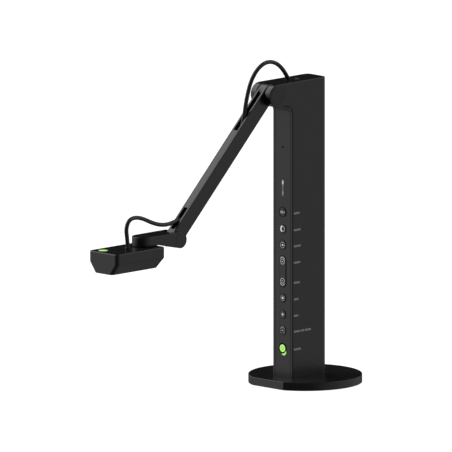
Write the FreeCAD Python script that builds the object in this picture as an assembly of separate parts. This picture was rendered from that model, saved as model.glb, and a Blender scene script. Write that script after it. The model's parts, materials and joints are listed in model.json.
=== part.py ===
import FreeCAD, Part
import math
import os

from FreeCAD import Vector

# Desktop document camera, in millimetres.
# The origin is the centre of the round base, on the table.
# +Z is up, -Y is the front with the buttons and the arm, and +X is the camera's own left-hand side.

# ---- base ----
BASE_R = 57.0
BASE_TOP = 8.5
BASE_FLAT_Y = -52.8  # the flat cut across the front of the round base
BASE_WALL = 2.4
BASE_ROOF = 2.0
PAD_THICK = 0.4  # rubber sole
BASE_EDGE = 0.4  # rounding of the top's rim
PLATE_THICK = 1.2
WEIGHT_THICK = 4.2
BASE_SCREWS = [(x, y) for x in (-36, 36) for y in (-28, 30)]

# ---- column ----
COL_X = 14.0  # half width
COL_FRONT = -31.7
COL_BACK = 17.4
COL_TOP = 309.5
COL_WALL = 2.0
FRONT_WALL = 3.2
BACK_ROUND = 6.0
FRAME_W = 3.0  # raised frame on each side of the front panel
COL_EDGE = 0.9  # rounding along the column's front corners, beak, hub and top
PANEL_SUNK = 0.05
PANEL_THICK = 1.2
PANEL_GAP = 0.4
PANEL_TOP = 281.2
PANEL_CORNER = 2.5
COL_ROOF = 4.4
COLUMN_SCREWS = [(x, y) for x in (-8.4, 8.4) for y in (-24.0, 10.0)]
POST_TOP = 24.0
POST_RIB = (7.6, 12.2)  # a rib ties each post to the side wall
BOSS_R = 3.4
SCREW_R = 1.45

# ---- what sits in the column's top: the cable's bush, and the scoop that it comes out of ----
CABLE_TOP_Y = -23.4
CABLE_LEAN = 32.6  # degrees that the cable leans forward as it comes out
GROMMET_R = 3.9
GROMMET_BORE = 2.65
GROMMET_LIP = 0.9
DISH_Y = -17.6
DISH_R = 7.4
DISH_DEPTH = 1.9

# ---- shoulder hinge ----
HINGE_Y = -52.2
HINGE_Z = 298.0
HUB_R = COL_TOP - HINGE_Z
BEAK_UNDER = HINGE_Z - HUB_R
BEAK_FILLET = 9.5
EAR_IN = 6.4  # inner face of each ear
CAP_R = 9.2
PIN_R = 3.0
RUNNING = 0.05  # radial clearance of a shaft that turns in a hole
HUB_CLEAR = 0.6

# ---- arm, measured along it (s) and towards its top face (n) from the shoulder axis ----
ARM_X = 5.15
ARM_TOP = HUB_R
ARM_UNDER = -4.7
ARM_LEN = 187.0
ARM_TILT = 45.0  # degrees below horizontal, as it stands
SLOT_X = 2.65
SLOT_FLOOR = -2.2
SLOT_START = 1.0
SLOT_END = 181.0
# the slot's upper end drops over a rounded lip: how far along, and how high, its points are
SLOT_LIP = ((1.0, 11.5), (6.0, 9.6), (9.0, 3.5))
SLOT_FOOT = 172.0
COVER_START = 54.4
COVER_END = 153.1
COVER_THICK = 2.0
COVER_LEDGE = 0.8
ARM_EDGE = 0.6

# ---- elbow and link ----
ELBOW_N = (ARM_TOP + ARM_UNDER) / 2
ELBOW_R = (ARM_TOP - ARM_UNDER) / 2
ELBOW_PIN_R = 2.5
LINK_X = 11.2
LINK_EAR_IN = 5.5
LINK_TOP = 176.5
LINK_UNDER = 167.2
LINK_SLOPE_Y = -220.0  # where the underside starts to drop towards the elbow
LINK_SWEEP = 24.1  # the underside is level this far round the swivel, where the head's corners pass
LINK_WALL = 1.8
LINK_PLATE_Y = -209.0
LINK_COVER_TOP = LINK_UNDER + 1.6
LINK_SCREWS = [(x, -212.6) for x in (-6.2, 6.2)]
LINK_POST_R = 2.5
FORK_DEPTH = 9.2
ELBOW_CAP_R = 7.1
ELBOW_CAP = 1.2

# ---- head ----
SWIVEL_Y = -229.3
HEAD_X = 20.4
HEAD_BACK = -217.6
HEAD_FRONT = -286.2
HEAD_TOP = 166.5
HEAD_SEAM = 155.7
HEAD_UNDER = 144.9
HEAD_CORNER = 4.0
HEAD_EDGE = 1.1  # rounding of the top's rim
HEAD_CHAMFER = 7.9  # how far each side slopes in towards the underside
HEAD_BACK_CHAMFER = 3.4
HEAD_WALL = 1.8
LENS_Y = -263.0
LENS_R = 6.0
LIGHT_Y = -236.5
HEAD_BUTTON = (-10.2, -275.6)
SWIVEL_HUB_R = 7.0
SWIVEL_PIN_R = 3.5
HEAD_POSTS = [(0.0, -281.2), (-9.0, -226.0), (9.0, -226.0)]
CAMERA_BOARD_Z = 157.4
BUSH_R = 2.9
BUSH_X = 6.0
BUSH_Y = -257.0

# ---- controls on the front panel: name, height, cap radius, hole radius ----
ROUND_BUTTONS = [
    ("source_button", 176.1, 4.5, 5.3),
    ("freeze_button", 159.1, 4.5, 4.9),
    ("rotate_button", 142.7, 4.5, 4.9),
    ("brighter_button", 88.8, 4.5, 4.9),
    ("dimmer_button", 72.1, 4.5, 4.9),
    ("light_button", 56.0, 4.5, 4.9),
    ("power_button", 37.9, 4.1, 5.4),
]
ROCKER_Z = 115.8
ROCKER_HALF = 15.85
ROCKER_X = 4.5
ROCKER_GAP = 0.5
ROCKER_REACH = 10.0
ROCKER_PIVOT_Y = -26.4
ROCKER_PIVOT_R = 1.0
PRESS = 0.7  # travel of a button
CAP_PROUD = 0.5
CAP_EDGE = 0.35
STEM_R = 1.4
BUTTON_BOARD_Y = -22.6
SWITCH_TIP_Y = BUTTON_BOARD_Y - 2.0
LIGHT_PIPE_Z = (192.0, 209.0)
LIGHT_PIPE_X = 1.3
MIC_Z = 242.0
MIC_R = 1.0

# ---- boards and sockets at the back ----
BOARD_THICK = 1.6
MAIN_BOARD_Y = 3.0
SOCKET_HDMI = (62.0, 5.6, 15.2)  # height, width, length
SOCKET_USB = (38.0, 3.3, 9.0)
REAR_COVER_X = 7.8
REAR_COVER_Z = (14.0, 296.0)
REAR_COVER_THICK = 1.6

# ---- cable ----
CABLE_R = 2.1
CABLE_N = 3.6  # where it lies inside the arm
CABLE_IN_ARM = (70.0, 146.0)


# ---------------------------------------------------------------- helpers
def box(x0, x1, y0, y1, z0, z1):
    return Part.makeBox(x1 - x0, y1 - y0, z1 - z0, Vector(x0, y0, z0))


def rod(r, start, end):
    """A solid cylinder between two points."""
    a, b = Vector(*start), Vector(*end)
    return Part.makeCylinder(r, (b - a).Length, a, b - a)


def upright(r, x, y, z0, z1):
    return rod(r, (x, y, z0), (x, y, z1))


def across(r, y, z, x0, x1):
    return rod(r, (x0, y, z), (x1, y, z))


def along_y(r, x, z, y0, y1):
    return rod(r, (x, y0, z), (x, y1, z))


def fused(shapes):
    shapes = list(shapes)
    return shapes[0].multiFuse(shapes[1:]).removeSplitter() if len(shapes) > 1 else shapes[0]


def cut(shape, tools):
    return shape.cut(list(tools))


def prism_x(edges, x0, x1):
    """A closed outline drawn in the YZ plane, stretched from x0 to x1."""
    face = Part.Face(Part.Wire(edges))
    face.translate(Vector(x0, 0, 0))
    return face.extrude(Vector(x1 - x0, 0, 0))


def line(a, b):
    return Part.LineSegment(Vector(0, *a), Vector(0, *b)).toShape()


def arc(a, through, b):
    return Part.Arc(Vector(0, *a), Vector(0, *through), Vector(0, *b)).toShape()


def polygon_x(points, x0, x1):
    return prism_x([line(a, b) for a, b in zip(points, points[1:] + points[:1])], x0, x1)


def vertical_edges(shape, at):
    """The upright edges whose (x, y) satisfies a test."""
    found = []
    for e in shape.Edges:
        if len(e.Vertexes) != 2:
            continue
        a, b = (v.Point for v in e.Vertexes)
        if abs(a.x - b.x) + abs(a.y - b.y) < 1e-6 and at(a.x, a.y):
            found.append(e)
    return found


def edges_at_z(shape, z):
    """Every edge that lies in the level plane z."""
    return [e for e in shape.Edges if all(abs(p.z - z) < 1e-6 for p in e.discretize(5))]


def pill_y(half_x, z0, z1, y0, y1):
    """A bar with round ends, standing upright, from y0 to y1."""
    body = box(-half_x, half_x, y0, y1, z0 + half_x, z1 - half_x)
    ends = [along_y(half_x, 0, z, y0, y1) for z in (z0 + half_x, z1 - half_x)]
    return fused([body] + ends)


def screw(x, y, z, length, r=SCREW_R, head_r=2.6, head=1.4):
    """A pan-head screw that points up, with z under its head."""
    shaft = upright(r, x, y, z, z + length)
    top = upright(head_r, x, y, z - head, z)
    half, arm = 0.3, 0.58 * head_r
    cross = [
        box(x - arm, x + arm, y - half, y + half, z - head - 1, z - head / 2),
        box(x - half, x + half, y - arm, y + arm, z - head - 1, z - head / 2),
    ]
    return cut(fused([shaft, top]), cross)


def arm_point(s, n, x=0.0):
    """A point of the arm in the row frame, from its distance along the arm and above its axis."""
    t = math.radians(ARM_TILT)
    y = HINGE_Y - s * math.cos(t) - n * math.sin(t)
    z = HINGE_Z - s * math.sin(t) + n * math.cos(t)
    return (x, y, z)


def placed_on_arm(shape):
    """Turn a shape drawn with the arm hanging straight down to the arm's own tilt."""
    moved = shape.copy()
    moved.rotate(Vector(0, HINGE_Y, HINGE_Z), Vector(1, 0, 0), ARM_TILT - 90.0)
    return moved


def hanging(s0, s1, n0, n1, x0, x1):
    """A block of the arm while it hangs straight down."""
    return box(x0, x1, HINGE_Y - n1, HINGE_Y - n0, HINGE_Z - s1, HINGE_Z - s0)


def cable(points, name):
    """A round cable along straight runs joined by tangent arcs."""
    p = [Vector(*q) for q in points]
    edges, at, radii = [], p[0], []
    for before, here, after in zip(p, p[1:], p[2:]):
        u, v = (here - before).normalize(), (after - here).normalize()
        half = u.getAngle(v) / 2
        run = min((here - before).Length, (after - here).Length)
        reach = 0.45 * run
        radii.append(reach / math.tan(half))
        start, end = here - u * reach, here + v * reach
        middle = here + (v - u).normalize() * radii[-1] * (1 / math.cos(half) - 1)
        edges += [Part.LineSegment(at, start).toShape(), Part.Arc(start, middle, end).toShape()]
        at = end
    edges.append(Part.LineSegment(at, p[-1]).toShape())
    path = Part.Wire(edges)
    ring = Part.Wire(Part.Circle(p[0], p[1] - p[0], CABLE_R).toShape())
    tube = path.makePipeShell([ring], True, False)
    wanted = math.pi * CABLE_R**2 * path.Length
    print(name, "length", round(path.Length, 1), "volume", round(tube.Volume / wanted, 4))
    print(name, "radii", [round(r, 1) for r in radii])
    return tube


# ---------------------------------------------------------------- base
def base_disc(r, flat_y, z0, z1):
    """A round plate with its front cut straight."""
    disc = upright(r, 0, 0, z0, z1)
    return disc.cut(box(-r, r, -2 * r, flat_y, z0 - 1, z1 + 1))


def base_cover():
    z0 = PAD_THICK
    shell = base_disc(BASE_R, BASE_FLAT_Y, z0, BASE_TOP)
    shell = shell.makeFillet(BASE_EDGE, edges_at_z(shell, BASE_TOP))
    inner = base_disc(BASE_R - BASE_WALL, BASE_FLAT_Y + BASE_WALL, z0, BASE_TOP - BASE_ROOF)
    bosses = [upright(BOSS_R, x, y, z0 + PLATE_THICK, BASE_TOP - BASE_ROOF) for x, y in BASE_SCREWS]
    pilots = [upright(1.5, x, y, z0, BASE_TOP - 1.2) for x, y in BASE_SCREWS]
    holes = [upright(1.6, x, y, 0, BASE_TOP + 1) for x, y in COLUMN_SCREWS]
    wires = box(-5, 5, -6, 4, 0, BASE_TOP + 1)
    return cut(fused([shell.cut(inner)] + bosses), pilots + holes + [wires])


def base_plate():
    gap = BASE_WALL + 0.2
    plate = base_disc(BASE_R - gap, BASE_FLAT_Y + gap, PAD_THICK, PAD_THICK + PLATE_THICK)
    holes = [upright(1.7, x, y, 0, 4) for x, y in BASE_SCREWS]
    sinks = [upright(2.9, x, y, 0, PAD_THICK + 0.6) for x, y in BASE_SCREWS]
    return cut(plate, holes + sinks)


def base_weight():
    z0 = PAD_THICK + PLATE_THICK + 0.1
    block = base_disc(BASE_R - BASE_WALL - 1.0, BASE_FLAT_Y + BASE_WALL + 1.0, z0, z0 + WEIGHT_THICK)
    room = box(-12, 12, -28, 14, 0, BASE_TOP)
    holes = [upright(BOSS_R + 0.4, x, y, 0, BASE_TOP) for x, y in BASE_SCREWS]
    return cut(block, [room] + holes)


def foot_pad():
    gap = BASE_WALL + 0.6
    return base_disc(BASE_R - gap, BASE_FLAT_Y + gap, 0, PAD_THICK)


def base_screws():
    under = PAD_THICK + 0.6
    return Part.Compound([screw(x, y, under, 5.6, head=0.5) for x, y in BASE_SCREWS])


def column_screws():
    under = BASE_TOP - BASE_ROOF
    return Part.Compound([screw(x, y, under, 12.0) for x, y in COLUMN_SCREWS])


# ---------------------------------------------------------------- column
def column_outline():
    fy, fz = COL_FRONT - BEAK_FILLET, BEAK_UNDER - BEAK_FILLET
    turn = math.sqrt(0.5) * BEAK_FILLET
    return [
        line((COL_FRONT, BASE_TOP), (COL_FRONT, fz)),
        arc((COL_FRONT, fz), (fy + turn, fz + turn), (fy, BEAK_UNDER)),
        line((fy, BEAK_UNDER), (HINGE_Y, BEAK_UNDER)),
        arc((HINGE_Y, BEAK_UNDER), (HINGE_Y - HUB_R, HINGE_Z), (HINGE_Y, COL_TOP)),
        line((HINGE_Y, COL_TOP), (COL_BACK, COL_TOP)),
        line((COL_BACK, COL_TOP), (COL_BACK, BASE_TOP)),
        line((COL_BACK, BASE_TOP), (COL_FRONT, BASE_TOP)),
    ]


def front_band(near, far, half_x, top):
    """The layer between two depths below the column's front, following its curve at the top."""
    cy, cz = COL_FRONT - BEAK_FILLET, BEAK_UNDER - BEAK_FILLET
    z0 = BASE_TOP

    def bend(depth):
        r = BEAK_FILLET + depth
        return (cy + r, cz), (cy + r * math.sqrt(0.5), cz + r * math.sqrt(0.5)), (cy, cz + r)

    (n0, n1, n2), (f0, f1, f2) = bend(near), bend(far)
    outline = [
        line((n0[0], z0), n0),
        arc(n0, n1, n2),
        line(n2, f2),
        arc(f2, f1, f0),
        line(f0, (f0[0], z0)),
        line((f0[0], z0), (n0[0], z0)),
    ]
    frame = box(-half_x, half_x, HINGE_Y, 0, z0, top)
    frame = frame.makeFillet(
        PANEL_CORNER, [e for e in edges_at_z(frame, top) if e.BoundBox.YLength > 1]
    )
    return prism_x(outline, -half_x, half_x).common(frame)


def arm_room():
    """The space between the ears that the arm sweeps."""
    x = EAR_IN
    room = [across(HUB_R + HUB_CLEAR, HINGE_Y, HINGE_Z, -x, x)]
    for angle in range(0, 136, 15):
        bar = hanging(0, 40, ARM_UNDER - HUB_CLEAR, ARM_TOP + HUB_CLEAR, -x, x)
        bar.rotate(Vector(0, HINGE_Y, HINGE_Z), Vector(1, 0, 0), -angle)
        room.append(bar)
    return fused(room)


def side_outline_edges(body):
    """Both sides' edges up the front, round the hub and along the top."""
    found = []
    for e in body.Edges:
        reach = e.BoundBox
        on_side = reach.XLength < 1e-6 and abs(abs(reach.XMin) - COL_X) < 1e-6
        at_foot = reach.ZMax < BASE_TOP + 1
        at_back = reach.YMin > COL_BACK - BACK_ROUND - 1
        if on_side and not at_foot and not at_back:
            found.append(e)
    return found


def cable_bore(r, below, above):
    """A cylinder along the cable where it leans out of the column's top."""
    lean = math.radians(CABLE_LEAN)
    along = Vector(0, -math.sin(lean), math.cos(lean))
    middle = Vector(0, CABLE_TOP_Y, COL_TOP)
    return rod(r, middle - along * below, middle + along * above)


def scoop():
    above = (DISH_R**2 - DISH_DEPTH**2) / (2 * DISH_DEPTH)
    return Part.makeSphere(above + DISH_DEPTH, Vector(0, DISH_Y, COL_TOP + above))


def column_inside():
    inside = box(
        -COL_X + COL_WALL, COL_X - COL_WALL,
        COL_FRONT + FRONT_WALL, COL_BACK - COL_WALL - 0.2,
        BASE_TOP, COL_TOP - COL_ROOF,
    )
    return inside.makeFillet(4.0, vertical_edges(inside, lambda x, y: y > 0))


def rear_recess():
    """The rebate for the rear cover, and the opening behind it."""
    half_x, ledge = REAR_COVER_X + 0.1, 1.6
    z0, z1 = REAR_COVER_Z
    return [
        box(-half_x, half_x, COL_BACK - REAR_COVER_THICK, COL_BACK + 1, z0 - 0.1, z1 + 0.1),
        box(-half_x + ledge, half_x - ledge, COL_BACK - 6, COL_BACK, z0 + ledge, z1 - ledge),
    ]


def column_posts():
    """The four screw posts in the column's foot, each with a rib to the side wall."""
    posts = [upright(BOSS_R, x, y, BASE_TOP, POST_TOP) for x, y in COLUMN_SCREWS]
    for x, y in COLUMN_SCREWS:
        near, far = (math.copysign(r, x) for r in POST_RIB)
        posts.append(box(min(near, far), max(near, far), y - 0.8, y + 0.8, BASE_TOP, POST_TOP))
    return posts


def shoulder_holes():
    """What the shoulder's pin, its head and nut, and the two side caps need."""
    holes = [across(PIN_R, HINGE_Y, HINGE_Z, -COL_X, COL_X)]
    for side in (-1, 1):
        holes.append(across(CAP_R + 0.1, HINGE_Y, HINGE_Z, side * (COL_X - 1.3), side * (COL_X + 1)))
        holes.append(across(5.3, HINGE_Y, HINGE_Z, side * (COL_X - 3.8), side * COL_X))
    return holes


def column_shell():
    body = prism_x(column_outline(), -COL_X, COL_X)
    body = body.makeFillet(BACK_ROUND, vertical_edges(body, lambda x, y: y > COL_BACK - 0.1))
    back_rim = [e for e in edges_at_z(body, COL_TOP) if e.BoundBox.YMax > COL_BACK - BACK_ROUND + 0.1]
    body = body.makeFillet(COL_EDGE, side_outline_edges(body) + back_rim)
    body = fused([body.cut(column_inside())] + column_posts())
    window = box(-9.3, 9.3, COL_FRONT - 1, COL_FRONT + FRONT_WALL + 0.1, 26.0, 270.0)
    recess = front_band(-1.0, PANEL_SUNK + PANEL_THICK, COL_X - FRAME_W, PANEL_TOP)
    pilots = [upright(1.5, x, y, BASE_TOP - 1, POST_TOP - 2) for x, y in COLUMN_SCREWS]
    tools = [window, recess, arm_room(), cable_bore(GROMMET_R, 8, 6), scoop()]
    return cut(body, tools + rear_recess() + pilots + shoulder_holes())


def cable_grommet():
    """The rubber bush that the cable leans out of, trimmed flush with the scoop."""
    under = COL_TOP - COL_ROOF
    room = box(-20, 20, -40, 0, under - 1.2, COL_TOP)
    below_roof = box(-20, 20, -40, 0, under - 1.2, under - 0.02)
    neck = cable_bore(GROMMET_R - 0.05, 8, 6).common(room)
    lip = cable_bore(GROMMET_R + GROMMET_LIP, 8, 6).common(below_roof)
    return cut(fused([neck, lip]), [scoop(), cable_bore(GROMMET_BORE, 12, 8)])


def panel_face_y():
    return COL_FRONT + PANEL_SUNK


def front_panel():
    half_x, top = COL_X - FRAME_W - PANEL_GAP, PANEL_TOP - PANEL_GAP
    panel = front_band(PANEL_SUNK, PANEL_SUNK + PANEL_THICK, half_x, top)
    y0, y1 = COL_FRONT - 1, COL_FRONT + FRONT_WALL
    holes = [along_y(hole, 0, z, y0, y1) for _, z, _, hole in ROUND_BUTTONS]
    holes.append(
        pill_y(ROCKER_X + ROCKER_GAP, ROCKER_Z - ROCKER_HALF - ROCKER_GAP,
               ROCKER_Z + ROCKER_HALF + ROCKER_GAP, y0, y1)
    )
    holes.append(pill_y(LIGHT_PIPE_X + 0.1, LIGHT_PIPE_Z[0] - 0.1, LIGHT_PIPE_Z[1] + 0.1, y0, y1))
    holes.append(along_y(MIC_R, 0, MIC_Z, y0, y1))
    return cut(panel, holes)


def front_rounded(cap, front):
    """A cap with its front rim rounded."""
    return cap.makeFillet(CAP_EDGE, [e for e in cap.Edges if abs(e.BoundBox.YMax - front) < 1e-6])


def round_button(z, r, hole):
    """A cap with a retaining flange behind the panel and a stem that meets its switch."""
    face, back = panel_face_y(), panel_face_y() + PANEL_THICK
    cap = front_rounded(along_y(r, 0, z, face - CAP_PROUD, back + 0.4), face - CAP_PROUD)
    flange = along_y(hole + 0.7, 0, z, back + 0.3, back + 1.1)
    stem = along_y(STEM_R, 0, z, back + 1.0, SWITCH_TIP_Y - PRESS - 0.1)
    return fused([cap, flange, stem])


def zoom_rocker():
    face, back = panel_face_y(), panel_face_y() + PANEL_THICK
    low, high = ROCKER_Z - ROCKER_HALF, ROCKER_Z + ROCKER_HALF
    cap = front_rounded(pill_y(ROCKER_X, low, high, face - CAP_PROUD, back + 1.4), face - CAP_PROUD)
    flange = pill_y(ROCKER_X + 1.2, low - 1.2, high + 1.2, back + 1.1, back + 1.9)
    stems = [
        along_y(STEM_R, 0, ROCKER_Z + reach, back + 1.8, SWITCH_TIP_Y - 0.8)
        for reach in (-ROCKER_REACH, ROCKER_REACH)
    ]
    pivot = across(ROCKER_PIVOT_R, ROCKER_PIVOT_Y, ROCKER_Z, -6.5, 6.5)
    web = box(-6.0, 6.0, back + 1.8, ROCKER_PIVOT_Y, ROCKER_Z - 0.8, ROCKER_Z + 0.8)
    return fused([cap, flange, pivot, web] + stems)


def rocker_bracket():
    """Two posts on the board that hold the rocker's pivot."""
    bore = across(ROCKER_PIVOT_R + RUNNING, ROCKER_PIVOT_Y, ROCKER_Z, -7.0, 7.0)
    posts = [
        box(x0, x0 + 1.9, ROCKER_PIVOT_Y - 1.8, BUTTON_BOARD_Y, ROCKER_Z - 1.8, ROCKER_Z + 1.8)
        for x0 in (-8.2, 6.3)
    ]
    return Part.Compound([p.cut(bore) for p in posts])


def button_board():
    front = BUTTON_BOARD_Y
    board = box(-8.4, 8.4, front, front + BOARD_THICK, 28.0, 214.0)
    places = [z for _, z, _, _ in ROUND_BUTTONS] + [ROCKER_Z - ROCKER_REACH, ROCKER_Z + ROCKER_REACH]
    switches = [box(-3, 3, front - 1.2, front, z - 3, z + 3) for z in places]
    tips = [along_y(1.1, 0, z, SWITCH_TIP_Y, front - 1.1) for z in places]
    holes = [along_y(1.1, x, z, -30, -10) for x in (-6.4, 6.4) for z in (186.0, 210.0)]
    return cut(fused([board] + switches + tips), holes)


def light_pipe():
    """The clear bar that carries two lamps from the board to the panel."""
    face = panel_face_y()
    bar = pill_y(LIGHT_PIPE_X, LIGHT_PIPE_Z[0], LIGHT_PIPE_Z[1], face - 0.1, face + PANEL_THICK + 0.4)
    shoulder = pill_y(LIGHT_PIPE_X + 1.2, LIGHT_PIPE_Z[0] - 1.2, LIGHT_PIPE_Z[1] + 1.2,
                      face + PANEL_THICK, face + PANEL_THICK + 0.8)
    legs = [
        along_y(1.2, 0, z, face + PANEL_THICK + 0.7, BUTTON_BOARD_Y - 0.4)
        for z in (LIGHT_PIPE_Z[0] + 3, LIGHT_PIPE_Z[1] - 3)
    ]
    return fused([bar, shoulder] + legs)


def microphone():
    back = panel_face_y() + PANEL_THICK
    can = along_y(3.0, 0, MIC_Z, back + 0.2, back + 3.4)
    return can.cut(along_y(0.6, 0, MIC_Z, back, back + 1.4))


def main_board():
    board = box(-10.4, 10.4, MAIN_BOARD_Y, MAIN_BOARD_Y + BOARD_THICK, 30.0, 250.0)
    chips = [
        box(-7, 7, MAIN_BOARD_Y - 1.4, MAIN_BOARD_Y, 120, 134),
        box(-5, 4, MAIN_BOARD_Y - 1.2, MAIN_BOARD_Y, 150, 161),
        box(-4, 6, MAIN_BOARD_Y - 4.0, MAIN_BOARD_Y, 222, 228),
    ]
    holes = [along_y(1.4, x, z, -10, 20) for x in (-7.6, 7.6) for z in (34.0, 246.0)]
    return cut(fused([board] + chips), holes)


def socket(size, wall=0.35):
    """A metal socket standing on the main board, open at the back, with its tongue."""
    z, w, h = size
    y0, y1 = MAIN_BOARD_Y + BOARD_THICK + 0.1, COL_BACK - 0.4
    shell = box(-w / 2, w / 2, y0, y1, z - h / 2, z + h / 2)
    shell = shell.makeFillet(min(w / 2 - 0.05, 1.2), [e for e in shell.Edges if e.BoundBox.YLength > 5])
    hollow = box(-w / 2 + wall, w / 2 - wall, y0 + 2, y1 + 1, z - h / 2 + wall, z + h / 2 - wall)
    tongue = box(-0.35, 0.35, y0 + 1, y1 - 1.2, z - h / 2 + 1.8, z + h / 2 - 1.8)
    return fused([shell.cut(hollow), tongue])


def rear_cover():
    y0, y1 = COL_BACK - REAR_COVER_THICK, COL_BACK
    cover = box(-REAR_COVER_X, REAR_COVER_X, y0 + 0.05, y1, *REAR_COVER_Z)
    holes = [
        box(-w / 2 - 0.4, w / 2 + 0.4, y0 - 1, y1 + 1, z - h / 2 - 0.4, z + h / 2 + 0.4)
        for z, w, h in (SOCKET_HDMI, SOCKET_USB)
    ]
    vent = pill_y(0.8, 0.0, 9.0, y0 - 1, y1 + 1)
    vents = [
        vent.translated(Vector(x, 0, 110.0 + 14.0 * row))
        for x in (-3.6, 0.0, 3.6)
        for row in range(6)
    ]
    return cut(cover, holes + vents)


def hinge_cap(side):
    return side_cap(side, CAP_R, HINGE_Y, HINGE_Z, COL_X - 1.2, COL_X + 0.15)


def shoulder_pin():
    x = COL_X - 3.7
    shaft = across(PIN_R, HINGE_Y, HINGE_Z, -x - 1.9, x)
    head = across(5.0, HINGE_Y, HINGE_Z, x + 0.1, x + 2.2)
    neck = across(PIN_R, HINGE_Y, HINGE_Z, x - 0.1, x + 0.2)
    drive = across(1.6, HINGE_Y, HINGE_Z, x + 1.0, x + 3)
    return fused([shaft, neck, head]).cut(drive)


def shoulder_nut():
    x = COL_X - 3.7
    nut = across(4.8, HINGE_Y, HINGE_Z, -x - 2.1, -x - 0.1)
    return nut.cut(across(PIN_R + 0.02, HINGE_Y, HINGE_Z, -x - 3, -x + 1))


def shoulder_washers():
    """A friction washer on each side of the arm's hub."""
    rings = []
    for side in (-1, 1):
        ring = across(9.0, HINGE_Y, HINGE_Z, side * (ARM_X + 0.08), side * (EAR_IN - 0.02))
        rings.append(ring.cut(across(PIN_R + 0.02, HINGE_Y, HINGE_Z, -20, 20)))
    return Part.Compound(rings)


# ---------------------------------------------------------------- arm
def arm_slot():
    """The channel along the arm's top: a rounded lip, a level floor and a ramp at the elbow."""
    top = ARM_TOP + 1.0

    def at(s, n):
        return (HINGE_Y - n, HINGE_Z - s)

    start, end = at(SLOT_START, top), at(SLOT_END, top)
    lip = [at(s, n) for s, n in SLOT_LIP]
    floor = [at(s, SLOT_FLOOR) for s in (SLOT_LIP[-1][0] + 1.5, SLOT_FOOT)]
    profile = prism_x([
        line(start, lip[0]),
        arc(*lip),
        line(lip[-1], floor[0]),
        line(*floor),
        line(floor[1], end),
        line(end, start),
    ], -SLOT_X, SLOT_X)
    plan = pill_y(SLOT_X, HINGE_Z - SLOT_END, HINGE_Z - SLOT_START, HINGE_Y - top, HINGE_Y - SLOT_FLOOR)
    return profile.common(plan)


def arm_channel():
    beam = hanging(0, ARM_LEN, ARM_UNDER, ARM_TOP, -ARM_X, ARM_X)
    hub = across(HUB_R, HINGE_Y, HINGE_Z, -ARM_X, ARM_X)
    elbow_y, elbow_z = HINGE_Y - ELBOW_N, HINGE_Z - ARM_LEN
    tip = across(ELBOW_R, elbow_y, elbow_z, -ARM_X, ARM_X)
    body = fused([beam, hub, tip])
    long_edges = [
        e for e in body.Edges
        if e.BoundBox.ZLength > 100 and e.BoundBox.XLength < 0.01 and abs(e.CenterOfMass.x) > ARM_X - 0.01
    ]
    body = body.makeFillet(ARM_EDGE, long_edges)
    ledge_x, under = SLOT_X + COVER_LEDGE, ARM_TOP - COVER_THICK
    ledge = hanging(COVER_START - 0.1, COVER_END + 0.1, under, ARM_TOP + 1, -ledge_x, ledge_x)
    bores = [
        across(PIN_R + RUNNING, HINGE_Y, HINGE_Z, -20, 20),
        across(ELBOW_PIN_R + RUNNING, elbow_y, elbow_z, -20, 20),
    ]
    return placed_on_arm(cut(body, [arm_slot(), ledge] + bores))


def arm_cover():
    """The strip that closes the middle of the arm's channel."""
    half_x = SLOT_X + COVER_LEDGE - 0.1
    lid = hanging(COVER_START, COVER_END, ARM_TOP - COVER_THICK + 0.05, ARM_TOP, -half_x, half_x)
    clips = [
        hanging(s, s + 4, ARM_TOP - 4.4, ARM_TOP - COVER_THICK + 0.1, x0, x0 + 0.9)
        for s in (60.0, 101.0, 143.0)
        for x0 in (-SLOT_X + 0.1, SLOT_X - 1.0)
    ]
    return placed_on_arm(fused([lid] + clips))


def arm_cable():
    s0, s1 = CABLE_IN_ARM
    return rod(CABLE_R, arm_point(s0, CABLE_N), arm_point(s1, CABLE_N))


# ---------------------------------------------------------------- link
ELBOW = arm_point(ARM_LEN, ELBOW_N)
ELBOW_Y, ELBOW_Z = ELBOW[1], ELBOW[2]


def link_side():
    """The link's outline seen from the side, with the underside tangent to the knuckle."""
    r = ELBOW_R
    away = Vector(0, LINK_SLOPE_Y - ELBOW_Y, LINK_UNDER - ELBOW_Z)
    reach = math.atan2(away.z, away.y) % (2 * math.pi)
    touch = reach + math.acos(r / away.Length)
    low = (ELBOW_Y + r * math.cos(touch), ELBOW_Z + r * math.sin(touch))
    front = SWIVEL_Y - LINK_X
    return [
        line((front, LINK_TOP), (ELBOW_Y, LINK_TOP)),
        line((ELBOW_Y, LINK_TOP), (ELBOW_Y, ELBOW_Z + r)),
        arc((ELBOW_Y, ELBOW_Z + r), (ELBOW_Y + r, ELBOW_Z), low),
        line(low, (LINK_SLOPE_Y, LINK_UNDER)),
        line((LINK_SLOPE_Y, LINK_UNDER), (front, LINK_UNDER)),
        line((front, LINK_UNDER), (front, LINK_TOP)),
    ]


def elbow_cap_rooms():
    """The round recess on each side of the knuckle."""
    inner, outer = LINK_X - ELBOW_CAP - 0.1, LINK_X + 1
    return [
        across(ELBOW_CAP_R + 0.1, ELBOW_Y, ELBOW_Z, side * inner, side * outer)
        for side in (-1, 1)
    ]


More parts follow.
